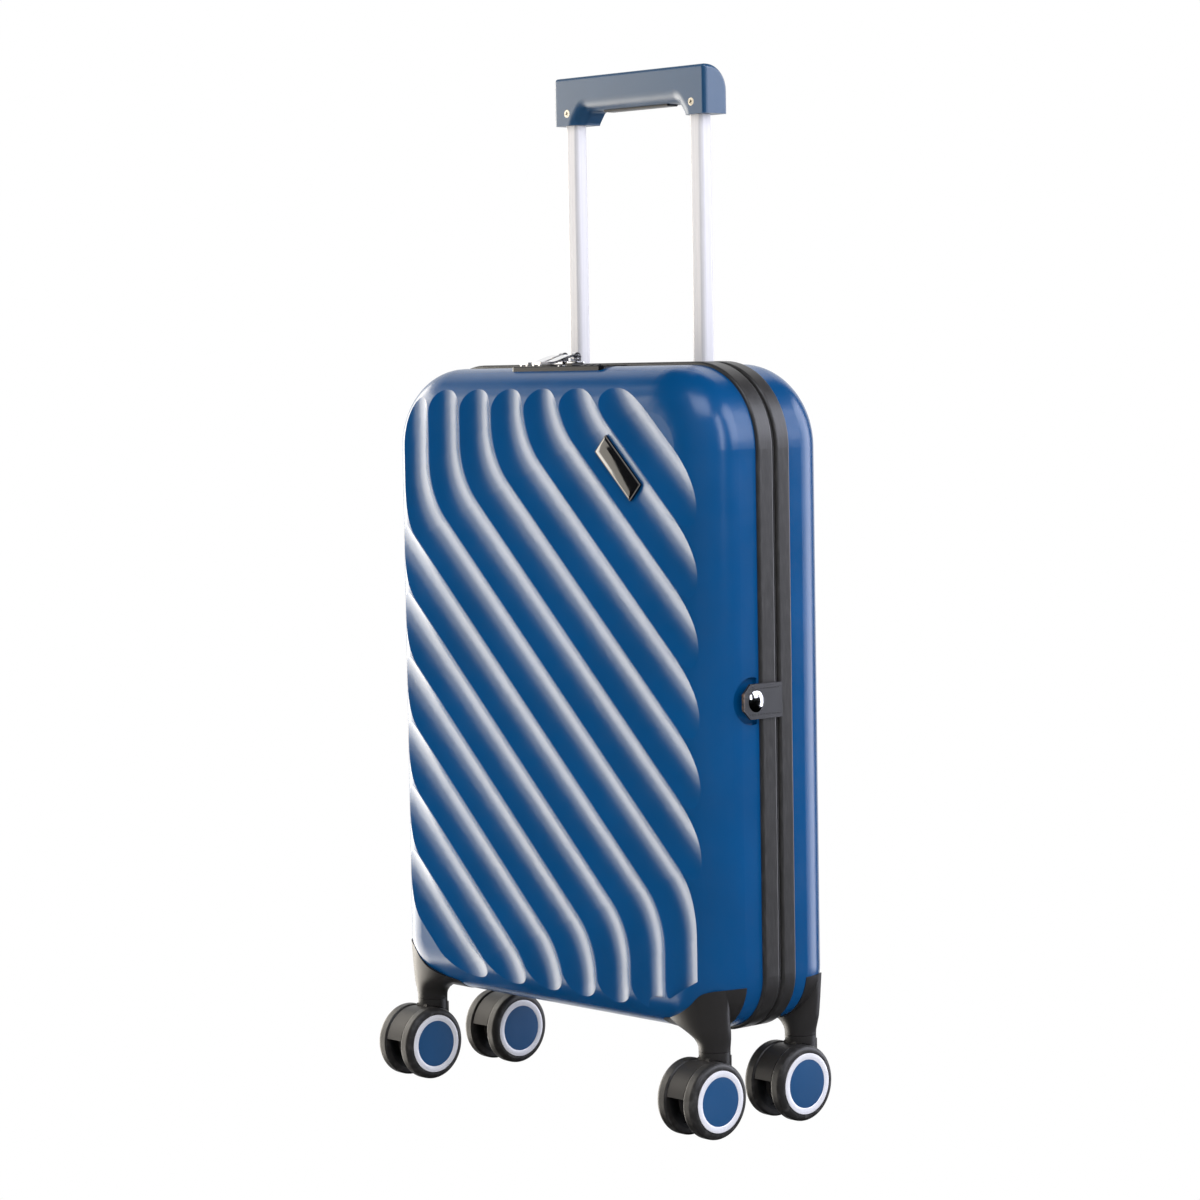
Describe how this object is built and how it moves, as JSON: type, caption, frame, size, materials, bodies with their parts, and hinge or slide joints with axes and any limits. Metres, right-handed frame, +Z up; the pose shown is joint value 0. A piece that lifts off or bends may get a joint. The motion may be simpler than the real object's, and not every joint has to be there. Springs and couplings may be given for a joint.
{
  "type": "hard shell suitcase",
  "caption": "Slim hard shell cabin suitcase with diagonal wavy flutes, zip between two halves, combination lock, telescopic handle and swivelling twin-wheel casters.",
  "frame": {"origin": "on the floor under the middle of the case", "axes": "+X to the wearer's right seen from the front, -Y the fluted front face, +Z up along the raised handle"},
  "size_m": [0.3667, 0.1472, 0.7666],
  "materials": {
    "shell": "satin steel blue with a fine grain",
    "zip_tape": "smooth dark coated band",
    "zip_coil": "dark moulded coil",
    "spine_fabric": "dark woven strip",
    "lock_black": "black, slightly glossy",
    "bright_metal": "polished",
    "strap_leather": "dark artificial leather with a fine diagonal weave",
    "grip_blue": "satin blue grey",
    "grip_black": "satin black",
    "steel": "plain turned",
    "leg_aluminium": "satin anodised",
    "cup_plastic": "satin dark blue",
    "caster_black": "satin black",
    "tyre_rubber": "smooth dark",
    "hub_blue": "satin blue cap in a bright ring"
  },
  "bodies": {
    "back_half": {"back_shell": "shell", "rear_band": "zip_tape", "rear_chain": "zip_coil", "rear_spine": "spine_fabric", "strap_root": "strap_leather", "handle_cup": "cup_plastic", "tube_base": "cup_plastic", "outer_tube_left": "leg_aluminium", "outer_tube_right": "leg_aluminium", "housing_rear_left": "caster_black", "housing_rear_right": "caster_black"},
    "front_half": {"front_shell": "shell", "front_band": "zip_tape", "front_chain": "zip_coil", "front_spine": "spine_fabric", "lock_body": "lock_black", "badge": "bright_metal", "snap_stud": "bright_metal", "housing_front_left": "caster_black", "housing_front_right": "caster_black"},
    "handle": {"grip": "grip_blue", "grip_screws": "steel", "leg_left": "leg_aluminium", "leg_right": "leg_aluminium"},
    "release_button": {"grip_button": "grip_black"},
    "keeper": {"keeper_strap": "strap_leather", "snap_cap": "bright_metal"},
    "lock_button": {"lock_button": "lock_black"},
    "key_cylinder": {"key_cylinder": "bright_metal"},
    "dial_1": {"dial_1": "lock_black"},
    "dial_2": {"dial_2": "lock_black"},
    "dial_3": {"dial_3": "lock_black"},
    "slider_left": {"slider_left": "bright_metal"},
    "pull_left": {"pull_left": "bright_metal"},
    "slider_right": {"slider_right": "bright_metal"},
    "pull_right": {"pull_right": "bright_metal"},
    "caster_front_left": {"fork_front_left": "caster_black", "axle_front_left": "steel"},
    "wheel_front_left_left": {"tyre_front_left_left": "tyre_rubber", "hub_front_left_left": "hub_blue"},
    "wheel_front_left_right": {"tyre_front_left_right": "tyre_rubber", "hub_front_left_right": "hub_blue"},
    "caster_front_right": {"fork_front_right": "caster_black", "axle_front_right": "steel"},
    "wheel_front_right_left": {"tyre_front_right_left": "tyre_rubber", "hub_front_right_left": "hub_blue"},
    "wheel_front_right_right": {"tyre_front_right_right": "tyre_rubber", "hub_front_right_right": "hub_blue"},
    "caster_rear_left": {"fork_rear_left": "caster_black", "axle_rear_left": "steel"},
    "wheel_rear_left_left": {"tyre_rear_left_left": "tyre_rubber", "hub_rear_left_left": "hub_blue"},
    "wheel_rear_left_right": {"tyre_rear_left_right": "tyre_rubber", "hub_rear_left_right": "hub_blue"},
    "caster_rear_right": {"fork_rear_right": "caster_black", "axle_rear_right": "steel"},
    "wheel_rear_right_left": {"tyre_rear_right_left": "tyre_rubber", "hub_rear_right_left": "hub_blue"},
    "wheel_rear_right_right": {"tyre_rear_right_right": "tyre_rubber", "hub_rear_right_right": "hub_blue"}
  },
  "joints": [
    {"name": "case_hinge", "type": "hinge", "parent": "back_half", "child": "front_half", "pos_m": [-0.1822, 0.013, 0.309], "axis": [0, 0, -1], "range_deg": [0, 180]},
    {"name": "handle_slide", "type": "slide", "parent": "back_half", "child": "handle", "axis": [0, 0, 1], "range_m": [-0.2205, 0.145]},
    {"name": "release_press", "type": "slide", "parent": "handle", "child": "release_button", "axis": [0, 0, 1], "range_m": [0, 0.0025], "stiffness_N_per_m": 300, "springref_m": -0.002},
    {"name": "keeper_hinge", "type": "hinge", "parent": "back_half", "child": "keeper", "pos_m": [0.1829, 0.0131, 0.309], "axis": [0, 0, 1], "range_deg": [0, 150]},
    {"name": "lock_press", "type": "slide", "parent": "front_half", "child": "lock_button", "axis": [1, 0, 0], "range_m": [0, 0.0025], "stiffness_N_per_m": 300, "springref_m": -0.002},
    {"name": "key_turn", "type": "hinge", "parent": "front_half", "child": "key_cylinder", "pos_m": [-0.009, -0.018, 0.545], "axis": [0, 0, 1], "range_deg": [0, 90]},
    {"name": "dial_1_turn", "type": "hinge", "parent": "front_half", "child": "dial_1", "pos_m": [0.0155, -0.018, 0.5428], "axis": [1, 0, 0], "continuous": true},
    {"name": "dial_2_turn", "type": "hinge", "parent": "front_half", "child": "dial_2", "pos_m": [0.0225, -0.018, 0.5428], "axis": [1, 0, 0], "continuous": true},
    {"name": "dial_3_turn", "type": "hinge", "parent": "front_half", "child": "dial_3", "pos_m": [0.0295, -0.018, 0.5428], "axis": [1, 0, 0], "continuous": true},
    {"name": "slider_left_run", "type": "slide", "parent": "front_half", "child": "slider_left", "axis": [1, 0, 0], "range_m": [-0.065, 0]},
    {"name": "pull_left_lift", "type": "hinge", "parent": "slider_left", "child": "pull_left", "pos_m": [-0.0435, 0.013, 0.5547], "axis": [-1, 0, 0], "range_deg": [0, 110]},
    {"name": "slider_right_run", "type": "slide", "parent": "front_half", "child": "slider_right", "axis": [1, 0, 0], "range_m": [0, 0.012]},
    {"name": "pull_right_lift", "type": "hinge", "parent": "slider_right", "child": "pull_right", "pos_m": [-0.0295, 0.013, 0.5547], "axis": [-1, 0, 0], "range_deg": [0, 110]},
    {"name": "front_left_swivel", "type": "hinge", "parent": "front_half", "child": "caster_front_left", "pos_m": [-0.1577, -0.033, 0.07], "axis": [0, 0, 1], "continuous": true},
    {"name": "front_left_left_spin", "type": "hinge", "parent": "caster_front_left", "child": "wheel_front_left_left", "pos_m": [-0.1577, -0.0462, 0.0275], "axis": [1, 0, 0], "continuous": true},
    {"name": "front_left_right_spin", "type": "hinge", "parent": "caster_front_left", "child": "wheel_front_left_right", "pos_m": [-0.1577, -0.0462, 0.0275], "axis": [1, 0, 0], "continuous": true},
    {"name": "front_right_swivel", "type": "hinge", "parent": "front_half", "child": "caster_front_right", "pos_m": [0.1577, -0.033, 0.07], "axis": [0, 0, 1], "continuous": true},
    {"name": "front_right_left_spin", "type": "hinge", "parent": "caster_front_right", "child": "wheel_front_right_left", "pos_m": [0.1577, -0.0462, 0.0275], "axis": [1, 0, 0], "continuous": true},
    {"name": "front_right_right_spin", "type": "hinge", "parent": "caster_front_right", "child": "wheel_front_right_right", "pos_m": [0.1577, -0.0462, 0.0275], "axis": [1, 0, 0], "continuous": true},
    {"name": "rear_left_swivel", "type": "hinge", "parent": "back_half", "child": "caster_rear_left", "pos_m": [-0.1577, 0.054, 0.07], "axis": [0, 0, 1], "continuous": true},
    {"name": "rear_left_left_spin", "type": "hinge", "parent": "caster_rear_left", "child": "wheel_rear_left_left", "pos_m": [-0.1577, 0.0408, 0.0275], "axis": [1, 0, 0], "continuous": true},
    {"name": "rear_left_right_spin", "type": "hinge", "parent": "caster_rear_left", "child": "wheel_rear_left_right", "pos_m": [-0.1577, 0.0408, 0.0275], "axis": [1, 0, 0], "continuous": true},
    {"name": "rear_right_swivel", "type": "hinge", "parent": "back_half", "child": "caster_rear_right", "pos_m": [0.1577, 0.054, 0.07], "axis": [0, 0, 1], "continuous": true},
    {"name": "rear_right_left_spin", "type": "hinge", "parent": "caster_rear_right", "child": "wheel_rear_right_left", "pos_m": [0.1577, 0.0408, 0.0275], "axis": [1, 0, 0], "continuous": true},
    {"name": "rear_right_right_spin", "type": "hinge", "parent": "caster_rear_right", "child": "wheel_rear_right_right", "pos_m": [0.1577, 0.0408, 0.0275], "axis": [1, 0, 0], "continuous": true}
  ]
}
